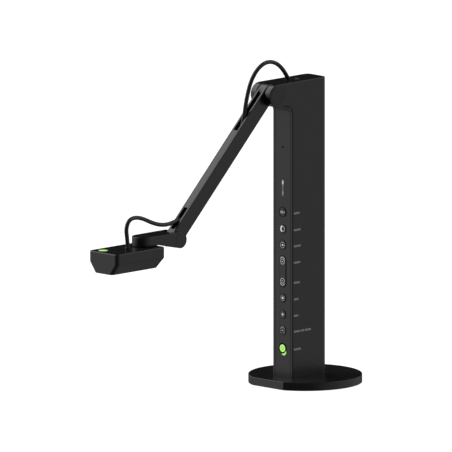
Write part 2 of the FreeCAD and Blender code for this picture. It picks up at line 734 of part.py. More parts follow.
def link_body():
    solid = prism_x(link_side(), -LINK_X, LINK_X)
    nose = fused([
        upright(LINK_X, 0, SWIVEL_Y, LINK_UNDER - 1, LINK_TOP + 1),
        box(-LINK_X, LINK_X, SWIVEL_Y, ELBOW_Y + 20, ELBOW_Z - 20, LINK_TOP + 1),
    ])
    solid = solid.common(nose)
    rim = [e for e in edges_at_z(solid, LINK_TOP) if e.BoundBox.YMin < ELBOW_Y - 0.5]
    solid = solid.makeFillet(0.7, rim)
    fork = box(-LINK_EAR_IN, LINK_EAR_IN, ELBOW_Y - FORK_DEPTH, ELBOW_Y + 20, ELBOW_Z - 20, LINK_TOP + 5)
    sweep = upright(LINK_SWEEP, 0, SWIVEL_Y, LINK_UNDER - 9, LINK_UNDER)
    inner_x = LINK_X - LINK_WALL
    hollow = fused([
        upright(inner_x, 0, SWIVEL_Y, LINK_UNDER - 1, LINK_TOP - LINK_WALL),
        box(-inner_x, inner_x, SWIVEL_Y, LINK_PLATE_Y, LINK_UNDER - 1, LINK_TOP - LINK_WALL),
    ])
    pin = across(ELBOW_PIN_R, ELBOW_Y, ELBOW_Z, -20, 20)
    solid = cut(solid, [fork, sweep, hollow, pin] + elbow_cap_rooms())
    posts = [upright(LINK_POST_R, x, y, LINK_COVER_TOP, LINK_TOP - 1) for x, y in LINK_SCREWS]
    pilots = [upright(1.15, x, y, LINK_UNDER, LINK_TOP - 2.4) for x, y in LINK_SCREWS]
    return cut(fused([solid] + posts), pilots)


def link_cover():
    """The plate under the link that the head hangs from."""
    x = LINK_X - LINK_WALL - 0.1
    plate = fused([
        upright(x, 0, SWIVEL_Y, LINK_UNDER, LINK_COVER_TOP),
        box(-x, x, SWIVEL_Y, LINK_PLATE_Y - 0.1, LINK_UNDER, LINK_COVER_TOP),
    ])
    holes = [upright(1.2, px, py, 100, 200) for px, py in LINK_SCREWS]
    sinks = [upright(2.1, px, py, LINK_UNDER - 1, LINK_UNDER + 0.8) for px, py in LINK_SCREWS]
    return cut(plate, holes + sinks + [upright(SWIVEL_PIN_R + RUNNING, 0, SWIVEL_Y, 100, 200)])


def link_screws():
    under = LINK_UNDER + 0.8
    return Part.Compound([screw(x, y, under, 5.0, r=1.1, head_r=2.0, head=0.7) for x, y in LINK_SCREWS])


def elbow_pin():
    reach = LINK_X - ELBOW_CAP - 0.2
    return across(ELBOW_PIN_R, ELBOW_Y, ELBOW_Z, -reach, reach)


def side_cap(side, r, y, z, inner, outer):
    """A thin disc that closes a hinge's side, its outer rim rounded."""
    cap = across(r, y, z, side * inner, side * outer)
    return cap.makeFillet(0.3, [e for e in cap.Edges if abs(e.CenterOfMass.x - side * outer) < 1e-3])


def elbow_cap(side):
    return side_cap(side, ELBOW_CAP_R, ELBOW_Y, ELBOW_Z, LINK_X - ELBOW_CAP, LINK_X + 0.1)


# ---------------------------------------------------------------- head
def head_block(inset, z0, z1):
    block = box(-HEAD_X + inset, HEAD_X - inset, HEAD_FRONT + inset, HEAD_BACK - inset, z0, z1)
    return block.makeFillet(HEAD_CORNER - inset, vertical_edges(block, lambda x, y: True))


def rounded_outline(half_x, y0, y1, r, z):
    """A closed rectangle with round corners, lying level."""
    block = box(-half_x, half_x, y0, y1, z - 1, z)
    block = block.makeFillet(r, vertical_edges(block, lambda x, y: True))
    top = max(block.Faces, key=lambda f: f.CenterOfMass.z)
    return top.OuterWire


def head_taper(inset, z0, z1):
    """The lower half's block: straight in front, sloping in on both sides and at the back."""

    def outline(z):
        drop = (HEAD_SEAM - z) / (HEAD_SEAM - HEAD_UNDER)
        half_x = HEAD_X - inset - HEAD_CHAMFER * drop
        back = HEAD_BACK - inset - HEAD_BACK_CHAMFER * drop
        return rounded_outline(half_x, HEAD_FRONT + inset, back, HEAD_CORNER - inset, z)

    return Part.makeLoft([outline(z0), outline(z1)], True, True)


def head_top_shell():
    block = head_block(0.0, HEAD_SEAM + 0.15, HEAD_TOP)
    block = block.makeFillet(HEAD_EDGE, edges_at_z(block, HEAD_TOP))
    shell = block.cut(head_block(HEAD_WALL, HEAD_SEAM - 1, HEAD_TOP - HEAD_WALL))
    posts = [upright(2.4, x, y, HEAD_SEAM + 0.3, HEAD_TOP - 1) for x, y in HEAD_POSTS]
    pilots = [upright(1.05, x, y, HEAD_SEAM - 1, HEAD_TOP - 2.6) for x, y in HEAD_POSTS]
    bx, by = HEAD_BUTTON
    holes = [
        upright(5.9, bx, by, HEAD_TOP - 3, HEAD_TOP + 1),
        upright(SWIVEL_PIN_R + 0.6, 0, SWIVEL_Y, HEAD_TOP - 3, HEAD_TOP + 1),
        upright(BUSH_R, BUSH_X, BUSH_Y, HEAD_TOP - 3, HEAD_TOP + 1),
    ]
    return cut(fused([shell] + posts), pilots + holes)


def head_bottom_shell():
    outer = head_taper(0.0, HEAD_UNDER, HEAD_SEAM)
    outer = outer.makeFillet(0.6, edges_at_z(outer, HEAD_UNDER))
    inner = head_taper(HEAD_WALL, HEAD_UNDER + HEAD_WALL, HEAD_SEAM)
    shell = outer.cut(inner)
    posts = [upright(2.4, x, y, HEAD_UNDER + 1, HEAD_SEAM) for x, y in HEAD_POSTS]
    holes = [upright(1.3, x, y, HEAD_UNDER - 1, HEAD_SEAM + 1) for x, y in HEAD_POSTS]
    sinks = [upright(2.2, x, y, HEAD_UNDER - 1, HEAD_UNDER + 1.4) for x, y in HEAD_POSTS]
    lens_hole = upright(LENS_R + 3.6, 0, LENS_Y, HEAD_UNDER - 1, HEAD_UNDER + 4)
    light_hole = box(-8.1, 8.1, LIGHT_Y - 2.6, LIGHT_Y + 2.6, HEAD_UNDER - 1, HEAD_UNDER + 4)
    return cut(fused([shell] + posts), holes + sinks + [lens_hole, light_hole])


def head_screws():
    under = HEAD_UNDER + 1.4
    return Part.Compound([
        screw(x, y, under, 14.0, r=1.0, head_r=2.0, head=1.0) for x, y in HEAD_POSTS
    ])


def camera_board():
    board = box(-16.5, 16.5, -278.0, -246.5, CAMERA_BOARD_Z, CAMERA_BOARD_Z + BOARD_THICK)
    sensor = box(-5.5, 5.5, LENS_Y - 5.5, LENS_Y + 5.5, CAMERA_BOARD_Z - 1.0, CAMERA_BOARD_Z)
    plug = box(9.0, 15.0, -257.0, -251.0, CAMERA_BOARD_Z + 1.6, CAMERA_BOARD_Z + 3.6)
    bx, by = HEAD_BUTTON
    switch = box(bx - 3, bx + 3, by - 3, by + 3, CAMERA_BOARD_Z + 1.6, CAMERA_BOARD_Z + 2.8)
    tip = upright(1.1, bx, by, CAMERA_BOARD_Z + 2.7, CAMERA_BOARD_Z + 3.4)
    return fused([board, sensor, plug, switch, tip])


def lens_holder():
    """The square seat of the lens on the camera board, with a threaded collar."""
    seat = box(-8.0, 8.0, LENS_Y - 8.0, LENS_Y + 8.0, CAMERA_BOARD_Z - 3.6, CAMERA_BOARD_Z)
    seat = seat.cut(box(-6.2, 6.2, LENS_Y - 6.2, LENS_Y + 6.2, CAMERA_BOARD_Z - 2.2, CAMERA_BOARD_Z))
    collar = upright(LENS_R + 1.6, 0, LENS_Y, CAMERA_BOARD_Z - 6.6, CAMERA_BOARD_Z - 3.5)
    return cut(fused([seat, collar]), [upright(LENS_R + 0.1, 0, LENS_Y, 140, CAMERA_BOARD_Z - 2.0)])


def lens_barrel():
    barrel = upright(LENS_R, 0, LENS_Y, HEAD_UNDER + 1.9, CAMERA_BOARD_Z - 2.2)
    mouth = Part.makeCone(LENS_R - 0.6, LENS_R - 2.6, 2.2, Vector(0, LENS_Y, HEAD_UNDER + 1.9))
    bore = upright(LENS_R - 2.6, 0, LENS_Y, HEAD_UNDER, CAMERA_BOARD_Z)
    return cut(barrel, [mouth, bore])


def lens_glass():
    """The front element: a thick disc with a domed front."""
    z = HEAD_UNDER + 4.3
    disc = upright(LENS_R - 2.65, 0, LENS_Y, z, z + 2.0)
    dome_r = 7.0
    dome = Part.makeSphere(dome_r, Vector(0, LENS_Y, z - 0.6 + dome_r))
    return fused([disc, dome.common(upright(LENS_R - 2.65, 0, LENS_Y, z - 0.8, z + 0.2))])


def lens_ring():
    """The bezel round the lens window, flush with the underside."""
    ring = upright(LENS_R + 3.5, 0, LENS_Y, HEAD_UNDER, HEAD_UNDER + 1.6)
    mouth = Part.makeCone(LENS_R + 2.4, LENS_R + 0.6, 1.6, Vector(0, LENS_Y, HEAD_UNDER))
    return ring.cut(mouth)


def light_board():
    board = box(-9.5, 9.5, LIGHT_Y - 4.0, LIGHT_Y + 4.0, HEAD_UNDER + 5.4, HEAD_UNDER + 6.6)
    lamps = [
        box(x - 1.4, x + 1.4, LIGHT_Y - 1.4, LIGHT_Y + 1.4, HEAD_UNDER + 4.7, HEAD_UNDER + 5.4)
        for x in (-5.0, 0.0, 5.0)
    ]
    return fused([board] + lamps)


def light_window():
    flush = box(-8.0, 8.0, LIGHT_Y - 2.5, LIGHT_Y + 2.5, HEAD_UNDER, HEAD_UNDER + 2.4)
    lip = box(-9.2, 9.2, LIGHT_Y - 3.7, LIGHT_Y + 3.7, HEAD_UNDER + HEAD_WALL + 0.05, HEAD_UNDER + 2.8)
    return fused([flush, lip])


def swivel_post():
    """The hollow stub on the head that turns in the link's plate."""
    flange = upright(SWIVEL_HUB_R, 0, SWIVEL_Y, HEAD_TOP + 0.02, LINK_UNDER - 0.3)
    stub = upright(SWIVEL_PIN_R, 0, SWIVEL_Y, HEAD_TOP - 4.4, LINK_COVER_TOP + 3.6)
    keep = upright(SWIVEL_HUB_R, 0, SWIVEL_Y, HEAD_TOP - 4.4, HEAD_TOP - HEAD_WALL - 0.05)
    return fused([flange, stub, keep]).cut(upright(1.6, 0, SWIVEL_Y, 100, 200))


def swivel_nut():
    nut = upright(6.2, 0, SWIVEL_Y, LINK_COVER_TOP + 0.3, LINK_COVER_TOP + 2.6)
    return nut.cut(upright(SWIVEL_PIN_R + 0.02, 0, SWIVEL_Y, 100, 200))


def cable_bushing():
    sleeve = upright(BUSH_R - 0.05, BUSH_X, BUSH_Y, HEAD_TOP - HEAD_WALL - 1.4, HEAD_TOP + 3.0)
    sleeve = sleeve.makeFillet(0.5, edges_at_z(sleeve, HEAD_TOP + 3.0))
    lip = upright(BUSH_R + 1.0, BUSH_X, BUSH_Y, HEAD_TOP - HEAD_WALL - 1.4, HEAD_TOP - HEAD_WALL - 0.02)
    return fused([sleeve, lip]).cut(upright(CABLE_R + 0.1, BUSH_X, BUSH_Y, 100, 200))


def focus_button():
    x, y = HEAD_BUTTON
    top = HEAD_TOP - 0.2
    cap = upright(5.5, x, y, top - 2.2, top)
    cap = cap.makeFillet(0.3, edges_at_z(cap, top))
    flange = upright(6.6, x, y, HEAD_TOP - HEAD_WALL - 1.1, HEAD_TOP - HEAD_WALL - 0.3)
    stem = upright(1.4, x, y, CAMERA_BOARD_Z + 3.4 + PRESS + 0.3, HEAD_TOP - HEAD_WALL - 1.0)
    return fused([cap, flange, stem])


# ---------------------------------------------------------------- cable
# The upper loop rises from the column's top, arches over the shoulder and drops into the arm's slot.
UPPER_LOOP = [
    (0.0, -14.6, 292.0),
    (0.0, -19.8, 303.8),
    (0.0, -30.3, 320.2),
    (0.0, -41.6, 329.4),
    (0.0, -55.4, 331.8),
    (0.0, -68.2, 325.6),
    (0.0, -77.6, 313.6),
    (0.0, -83.4, 296.0),
    arm_point(39.5, 9.6),
    arm_point(55.5, CABLE_N),
    arm_point(CABLE_IN_ARM[0], CABLE_N),
]
# The lower loop leaves the slot, arches over the link and drops into the head.
LOWER_JOIN = (3.4, -228.0, 192.65)
ELBOW_LOOP = [
    arm_point(CABLE_IN_ARM[1], CABLE_N),
    arm_point(159.5, CABLE_N),
    (0.1, -181.6, 185.9),
    (0.6, -195.4, 183.7),
    (1.6, -208.8, 185.4),
    (2.8, -222.0, 190.0),
    LOWER_JOIN,
]
HEAD_LOOP = [
    LOWER_JOIN,
    (4.0, -234.0, 195.3),
    (5.0, -245.4, 198.0),
    (5.7, -255.0, 196.6),
    (6.0, -259.4, 188.4),
    (6.0, -258.0, 179.0),
    (6.0, -257.0, 170.6),
    (6.0, -257.0, 163.0),
]

NODES = {
    "base_cover": base_cover,
    "base_plate": base_plate,
    "base_weight": base_weight,
    "foot_pad": foot_pad,
    "base_screws": base_screws,
    "column_screws": column_screws,
    "column_shell": column_shell,
    "front_panel": front_panel,
    "rear_cover": rear_cover,
    "cable_grommet": cable_grommet,
    "button_board": button_board,
    "rocker_bracket": rocker_bracket,
    "main_board": main_board,
    "hdmi_socket": lambda: socket(SOCKET_HDMI),
    "usb_socket": lambda: socket(SOCKET_USB),
    "status_light_pipe": light_pipe,
    "microphone": microphone,
    "hinge_cap_left": lambda: hinge_cap(1),
    "hinge_cap_right": lambda: hinge_cap(-1),
    "shoulder_pin": shoulder_pin,
    "shoulder_nut": shoulder_nut,
    "shoulder_washers": shoulder_washers,
    "zoom_rocker": zoom_rocker,
    "arm_channel": arm_channel,
    "arm_cover": arm_cover,
    "arm_cable": arm_cable,
    "link_body": link_body,
    "link_cover": link_cover,
    "link_screws": link_screws,
    "elbow_pin": elbow_pin,
    "elbow_cap_left": lambda: elbow_cap(1),
    "elbow_cap_right": lambda: elbow_cap(-1),
    "head_top_shell": head_top_shell,
    "head_bottom_shell": head_bottom_shell,
    "head_screws": head_screws,
    "camera_board": camera_board,
    "lens_holder": lens_holder,
    "lens_barrel": lens_barrel,
    "lens_glass": lens_glass,
    "lens_ring": lens_ring,
    "light_board": light_board,
    "light_window": light_window,
    "swivel_post": swivel_post,
    "swivel_nut": swivel_nut,
    "cable_bushing": cable_bushing,
    "focus_button": focus_button,
    "cable_loop_shoulder": lambda: cable(UPPER_LOOP, "cable_loop_shoulder"),
    "cable_loop_elbow": lambda: cable(ELBOW_LOOP, "cable_loop_elbow"),
    "cable_loop_head": lambda: cable(HEAD_LOOP, "cable_loop_head"),
}


def main():
    os.makedirs("parts", exist_ok=True)
    shapes = {name: make() for name, make in NODES.items()}
    for name, z, r, hole in ROUND_BUTTONS:
        shapes[name] = round_button(z, r, hole)
    for name, shape in shapes.items():
        if not shape.isValid():
            print("not valid:", name)
        shape.exportStep(f"parts/{name}.step")
    print(len(shapes), "nodes")


main()
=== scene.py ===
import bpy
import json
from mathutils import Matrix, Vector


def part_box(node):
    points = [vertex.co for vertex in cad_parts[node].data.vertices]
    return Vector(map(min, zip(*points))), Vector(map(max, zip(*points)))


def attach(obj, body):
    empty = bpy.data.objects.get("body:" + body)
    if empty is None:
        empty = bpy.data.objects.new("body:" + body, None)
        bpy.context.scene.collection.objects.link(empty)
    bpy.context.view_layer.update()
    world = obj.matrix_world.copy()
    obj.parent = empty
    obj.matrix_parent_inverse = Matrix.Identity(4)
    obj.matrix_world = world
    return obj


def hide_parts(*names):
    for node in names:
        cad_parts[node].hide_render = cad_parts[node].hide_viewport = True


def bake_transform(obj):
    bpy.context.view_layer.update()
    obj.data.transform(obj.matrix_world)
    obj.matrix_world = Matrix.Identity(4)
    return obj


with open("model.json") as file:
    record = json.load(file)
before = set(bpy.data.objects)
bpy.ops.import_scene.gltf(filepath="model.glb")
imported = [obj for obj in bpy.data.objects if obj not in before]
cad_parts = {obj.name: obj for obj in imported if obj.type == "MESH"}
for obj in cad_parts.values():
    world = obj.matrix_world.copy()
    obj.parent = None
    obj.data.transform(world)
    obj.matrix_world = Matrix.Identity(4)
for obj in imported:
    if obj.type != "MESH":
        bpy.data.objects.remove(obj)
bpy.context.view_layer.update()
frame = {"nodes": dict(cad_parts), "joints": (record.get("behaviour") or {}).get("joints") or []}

import json
import math

import bmesh
import bpy
from mathutils import Vector

# The looks of a desktop document camera, in metres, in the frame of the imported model:
# the origin is under the middle of the round base, +Z is up and -Y is the front with the buttons.
MM = 0.001

# ---- camera ----
CAMERA_AZIMUTH = math.radians(45.0)
CAMERA_ELEVATION = math.radians(10.0)
CAMERA_AIM = Vector((0.0, -0.11203, 0.17197))
CAMERA_DISTANCE = 1.6
PICTURE_WIDTH = 0.452  # what an orthographic picture of the whole object is wide

# ---- cable ----
CABLE_RADIUS = 2.1 * MM
CABLE_SIDES = 24
CABLE_STEPS = 14  # how many rings the cable has between two points of its route
ARM_TILT = math.radians(45.0)

joints = {j["name"]: j for j in frame["joints"]}
SHOULDER = Vector(joints["shoulder_pitch"]["pos_m"])


# ---------------------------------------------------------------- camera
def make_camera():
    back = Vector((
        math.sin(CAMERA_AZIMUTH) * math.cos(CAMERA_ELEVATION),
        -math.cos(CAMERA_AZIMUTH) * math.cos(CAMERA_ELEVATION),
        math.sin(CAMERA_ELEVATION),
    ))
    data = bpy.data.cameras.new("camera")
    data.type = "ORTHO"
    data.ortho_scale = PICTURE_WIDTH
    camera = bpy.data.objects.new("camera", data)
    bpy.context.scene.collection.objects.link(camera)
    camera.location = CAMERA_AIM + back * CAMERA_DISTANCE
    camera.rotation_mode = "QUATERNION"
    camera.rotation_quaternion = (-back).to_track_quat("-Z", "Y")
    bpy.context.scene.camera = camera


make_camera()


# ---------------------------------------------------------------- cable
def on_arm(along, above):
    """A point of the arm at rest, from its distances along the arm and above the shoulder's axis."""
    c, s = math.cos(ARM_TILT), math.sin(ARM_TILT)
    return (0.0, SHOULDER.y - along * c - above * s, SHOULDER.z - along * s + above * c)


CABLE_ABOVE = 3.6 * MM  # how far above the shoulder's axis the cable lies inside the arm
SHOULDER_ROUTE = [
    (0.0, -0.0146, 0.2920),
    (0.0, -0.0198, 0.3038),
    (0.0, -0.0303, 0.3202),
    (0.0, -0.0416, 0.3294),
    (0.0, -0.0554, 0.3318),
    (0.0, -0.0682, 0.3256),
    (0.0, -0.0776, 0.3136),
    (0.0, -0.0834, 0.2960),
    on_arm(0.0395, 0.0096),
    on_arm(0.0555, CABLE_ABOVE),
    on_arm(0.0700, CABLE_ABOVE),
]
LOWER_JOIN = (0.0034, -0.2280, 0.19265)
ELBOW_ROUTE = [
    on_arm(0.1460, CABLE_ABOVE),
    on_arm(0.1595, CABLE_ABOVE),
    (0.0001, -0.1816, 0.1859),
    (0.0006, -0.1954, 0.1837),
    (0.0016, -0.2088, 0.1854),
    (0.0028, -0.2220, 0.1900),
    LOWER_JOIN,
]
HEAD_ROUTE = [
    LOWER_JOIN,
    (0.0040, -0.2340, 0.1953),
    (0.0050, -0.2454, 0.1980),
    (0.0057, -0.2550, 0.1966),
    (0.0060, -0.2594, 0.1884),
    (0.0060, -0.2580, 0.1790),
    (0.0060, -0.2570, 0.1706),
    (0.0060, -0.2570, 0.1630),
]


def smooth_line(points):
    """The points of the smooth spline that a route controls."""
    curve = bpy.data.curves.new("route", "CURVE")
    curve.dimensions = "3D"
    curve.resolution_u = CABLE_STEPS
    spline = curve.splines.new("NURBS")
    spline.points.add(len(points) - 1)
    for control, place in zip(spline.points, points):
        control.co = (*place, 1.0)
    spline.order_u = 3
    spline.use_endpoint_u = True
    holder = bpy.data.objects.new("route", curve)
    bpy.context.scene.collection.objects.link(holder)
    seen = holder.evaluated_get(bpy.context.evaluated_depsgraph_get())
    mesh = bpy.data.meshes.new_from_object(seen)
    line = [v.co.copy() for v in mesh.vertices]
    bpy.data.objects.remove(holder)
    bpy.data.meshes.remove(mesh)
    return line


def tube(name, line, radius, sides):
    """A round closed tube along a line, its rings carried along without twist."""
    ahead = [(b - a).normalized() for a, b in zip(line, line[1:])]
    ahead.append(ahead[-1])
    side = Vector((1.0, 0.0, 0.0))
    shape = bmesh.new()
    rings = []
    for i, centre in enumerate(line):
        along = (ahead[max(i - 1, 0)] + ahead[i]).normalized()
        side = (side - along * side.dot(along)).normalized()
        up = along.cross(side)
        turns = [2 * math.pi * k / sides for k in range(sides)]
        around = [(side * math.cos(t) + up * math.sin(t)) * radius for t in turns]
        rings.append([shape.verts.new(centre + spoke) for spoke in around])
    for near, far in zip(rings, rings[1:]):
        for k in range(sides):
            shape.faces.new((near[k], near[(k + 1) % sides], far[(k + 1) % sides], far[k]))
    shape.faces.new(list(reversed(rings[0])))
    shape.faces.new(rings[-1])
    return mesh_piece(name, shape, smooth=True)


def mesh_piece(name, shape, smooth=False):
    """A new object from a bmesh."""
    bmesh.ops.recalc_face_normals(shape, faces=shape.faces[:])
    mesh = bpy.data.meshes.new(name)
    shape.to_mesh(mesh)
    shape.free()
    for face in mesh.polygons:
        face.use_smooth = smooth and len(face.vertices) == 4
    piece = bpy.data.objects.new(name, mesh)
    bpy.context.scene.collection.objects.link(piece)
    return piece


def cable_loop(name, route, node):
    """One free stretch of the cable: a tube along its route, in place of the imported loop, which is
    hidden.
    """
    line = smooth_line(route)
    loop = tube(name, line, CABLE_RADIUS, CABLE_SIDES)
    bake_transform(loop)
    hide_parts(node)
    return loop


cables = [
    cable_loop(
        "shoulder_cable", SHOULDER_ROUTE, "cable_loop_shoulder",
    ),
    cable_loop(
        "elbow_cable", ELBOW_ROUTE, "cable_loop_elbow",
    ),
    cable_loop(
        "head_cable", HEAD_ROUTE, "cable_loop_head",
    ),
]


# ---------------------------------------------------------------- materials
class Finish:
    """A material that is being built: adds nodes, links them and keeps their outputs."""

    def __init__(self, name):
        self.material = bpy.data.materials.new(name)
        self.material.use_nodes = True
        self.tree = self.material.node_tree
        self.tree.nodes.clear()
        self.out = self.tree.nodes.new("ShaderNodeOutputMaterial")
        self.place = self.add("ShaderNodeTexCoord").outputs["Object"]

    def add(self, kind, inputs=None, **settings):
        node = self.tree.nodes.new(kind)
        for key, value in settings.items():
            setattr(node, key, value)
        for key, value in (inputs or {}).items():
            if isinstance(value, bpy.types.NodeSocket):
                self.tree.links.new(value, node.inputs[key])
            else:
                node.inputs[key].default_value = value
        return node

    def noise(self, feature, detail=3.0, stretch=None):
        """Noise whose features are about this many metres across, stretched along one axis or not."""
        place = self.place
        if stretch:
            scaled = self.add("ShaderNodeVectorMath", {0: place, 1: stretch}, operation="MULTIPLY")
            place = scaled.outputs[0]
        inputs = {"Vector": place, "Scale": 1.0 / feature, "Detail": detail}
        return self.add("ShaderNodeTexNoise", inputs).outputs["Fac"]

    def remap(self, value, low, high, to_low, to_high):
        """A value carried from one range to another, and held at its ends."""
        made = self.add("ShaderNodeMapRange", {
            "Value": value, "From Min": low, "From Max": high, "To Min": to_low, "To Max": to_high,
        })
        return made.outputs["Result"]

    def blend(self, share, a, b):
        """Colour a where share is 0 and b where it is 1."""
        made = self.add("ShaderNodeMix", data_type="RGBA")
        colour_a, colour_b, colour_out = made.inputs[6], made.inputs[7], made.outputs[2]
        for socket, value in ((made.inputs["Factor"], share), (colour_a, a), (colour_b, b)):
            if isinstance(value, bpy.types.NodeSocket):
                self.tree.links.new(value, socket)
            else:
                socket.default_value = value
        return colour_out

    def rounded(self, radius):
        """The surface's normal with every sharp edge softened."""
        return self.add("ShaderNodeBevel", {"Radius": radius}, samples=8).outputs["Normal"]

    def edges(self, radius):
        """1 along sharp edges and 0 elsewhere."""
        flat = self.add("ShaderNodeNewGeometry").outputs["Normal"]
        soft = self.rounded(radius)
        agree = self.add("ShaderNodeVectorMath", {0: flat, 1: soft}, operation="DOT_PRODUCT")
        return self.remap(agree.outputs["Value"], 0.995, 0.80, 0.0, 1.0)

    def bumps(self, height, distance, normal=None):
        """The surface's normal, or the one given, with a relief of this many metres on it."""
        inputs = {"Height": height, "Distance": distance, "Strength": 1.0}
        if normal is not None:
            inputs["Normal"] = normal
        return self.add("ShaderNodeBump", inputs).outputs["Normal"]

    def surface(self, **inputs):
        """Finishes the material with the main shader, its inputs named with _ for each space."""
        named = {key.replace("_", " "): value for key, value in inputs.items()}
        shader = self.add("ShaderNodeBsdfPrincipled", named)
        self.tree.links.new(shader.outputs[0], self.out.inputs["Surface"])
        return self.material


BLACK = (0.0, 0.0, 0.0, 1.0)
WHITE = (1.0, 1.0, 1.0, 1.0)
EDGE_SHADE = 0.16  # how light plastic looks where its edges are rubbed
EDGE_WORN = 0.02  # how much of that shows


def grey(value):
    """A grey with the slight blue of black plastics."""
    return (value, value, value * 1.02, 1.0)


def moulded_plastic(name, shade, roughness, grain=0.35 * MM, depth=0.0008 * MM):
    """Black moulded plastic: a fine eroded grain, faint handling marks, and slightly rubbed edges."""
    f = Finish(name)
    edge = f.edges(0.35 * MM)
    scuffs = f.noise(14 * MM, detail=5.0)
    streaks = f.noise(1.6 * MM, detail=2.0, stretch=(1.0, 1.0, 0.12))
    tint = f.blend(f.remap(scuffs, 0.35, 0.7, 0.0, 1.0), grey(shade * 0.85), grey(shade * 1.2))
    colour = f.blend(f.remap(edge, 0.0, 1.0, 0.0, EDGE_WORN), tint, grey(EDGE_SHADE))
    rough = f.add("ShaderNodeMath", {
        0: f.remap(scuffs, 0.3, 0.7, roughness - 0.03, roughness + 0.04),
        1: f.remap(streaks, 0.3, 0.7, -0.015, 0.02),
    }, operation="ADD").outputs[0]
    normal = f.bumps(f.noise(grain, detail=2.0), depth, normal=f.rounded(0.3 * MM))
    return f.surface(Base_Color=colour, Roughness=rough, Normal=normal)


def smooth_plastic(name, colour, roughness):
    """A polished moulding with faint unevenness and dust in its gloss."""
    f = Finish(name)
    patches = f.noise(3 * MM, detail=4.0)
    dark = tuple(c * 0.88 for c in colour[:3]) + (1.0,)
    shade = f.blend(f.remap(patches, 0.3, 0.7, 0.0, 1.0), dark, colour)
    rough = f.remap(patches, 0.3, 0.7, roughness - 0.03, roughness + 0.05)
    normal = f.bumps(f.noise(0.8 * MM), 0.003 * MM, normal=f.rounded(0.25 * MM))
    return f.surface(Base_Color=shade, Roughness=rough, Normal=normal)


def cable_jacket(name):
    """Extruded PVC: satin, with faint drawn lines and a slightly dusty skin."""
    f = Finish(name)
    skin = f.noise(5 * MM, detail=5.0)
    colour = f.blend(f.remap(skin, 0.35, 0.7, 0.0, 1.0), grey(0.012), grey(0.022))
    rough = f.remap(skin, 0.3, 0.7, 0.30, 0.40)
    normal = f.bumps(f.noise(0.5 * MM, detail=2.0), 0.006 * MM)
    return f.surface(Base_Color=colour, Roughness=rough, Normal=normal)


def rubber(name):
    """Matt moulded rubber with a pebbled skin."""
    f = Finish(name)
    skin = f.noise(2.5 * MM, detail=4.0)
    colour = f.blend(f.remap(skin, 0.35, 0.7, 0.0, 1.0), grey(0.010), grey(0.020))
    rough = f.remap(skin, 0.3, 0.7, 0.45, 0.62)
    normal = f.bumps(f.noise(0.4 * MM, detail=2.0), 0.01 * MM, normal=f.rounded(0.2 * MM))
    return f.surface(Base_Color=colour, Roughness=rough, Normal=normal)


def metal(name, colour, roughness, stretch=None, grain=0.2 * MM):
    """Plated or machined metal, brushed where a stretch is given."""
    f = Finish(name)
    stain = f.noise(4 * MM, detail=4.0)
    lines = f.noise(grain, detail=2.0, stretch=stretch)
    dark = tuple(c * 0.8 for c in colour[:3]) + (1.0,)
    shade = f.blend(f.remap(stain, 0.3, 0.7, 0.0, 1.0), dark, colour)
    rough = f.remap(stain, 0.3, 0.7, roughness - 0.05, roughness + 0.08)
    normal = f.bumps(lines, 0.004 * MM, normal=f.rounded(0.15 * MM))
    return f.surface(Base_Color=shade, Metallic=1.0, Roughness=rough, Normal=normal)


def circuit_board(name):
    """Solder mask with copper tracks showing faintly through it."""
    f = Finish(name)
    tracks = f.add("ShaderNodeTexVoronoi", {"Vector": f.place, "Scale": 450.0}, distance="MANHATTAN")
    on_track = f.remap(tracks.outputs["Distance"], 0.28, 0.36, 0.0, 1.0)
    colour = f.blend(on_track, (0.012, 0.06, 0.03, 1.0), (0.02, 0.11, 0.05, 1.0))
    rough = f.remap(f.noise(2 * MM), 0.3, 0.7, 0.3, 0.45)
    normal = f.bumps(on_track, 0.02 * MM)
    return f.surface(Base_Color=colour, Roughness=rough, Normal=normal)


# The light pipe's glow, from its foot up: share of its height, red, green and blue.
PIPE_GLOWS = [
    (0.0, 0.02, 0.035, 0.02), (0.06, 0.075, 0.12, 0.075), (0.12, 0.08, 0.15, 0.085),
    (0.19, 0.16, 0.28, 0.17), (0.25, 0.14, 0.22, 0.15), (0.34, 0.07, 0.11, 0.075),
    (0.46, 0.065, 0.078, 0.065), (0.64, 0.11, 0.11, 0.115), (0.71, 0.16, 0.16, 0.17),
    (0.77, 0.50, 0.50, 0.53), (0.86, 0.60, 0.60, 0.62), (0.94, 0.30, 0.30, 0.31),
    (1.0, 0.06, 0.06, 0.06),
]
PIPE_DARK_ENDS = 1.2 * MM


def lit_bar(name):
    """The clear light pipe: a white lamp behind its top and a green one behind its foot."""
    f = Finish(name)
    low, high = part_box("status_light_pipe")
    foot, head = low.z + PIPE_DARK_ENDS, high.z - PIPE_DARK_ENDS
    place = f.add("ShaderNodeSeparateXYZ", {0: f.place}).outputs
    ramp = f.add("ShaderNodeValToRGB", {"Fac": f.remap(place["Z"], foot, head, 0.0, 1.0)})
    aside = f.add("ShaderNodeMath", {0: place["X"]}, operation="ABSOLUTE").outputs[0]
    shine = f.blend(f.remap(aside, 0.6 * MM, 1.2 * MM, 0.0, 0.9), ramp.outputs["Color"], BLACK)
    elements = ramp.color_ramp.elements
    while len(elements) < len(PIPE_GLOWS):
        elements.new(0.5)
    for element, (share, *colour) in zip(elements, PIPE_GLOWS):
        element.position = share
        element.color = (*colour, 1.0)
    normal = f.bumps(f.noise(0.6 * MM), 0.01 * MM)
    rough = f.remap(f.noise(1.5 * MM), 0.3, 0.7, 0.2, 0.35)
    return f.surface(
        Base_Color=grey(0.04), Roughness=rough, Normal=normal,
        Emission_Color=shine, Emission_Strength=1.0,
    )


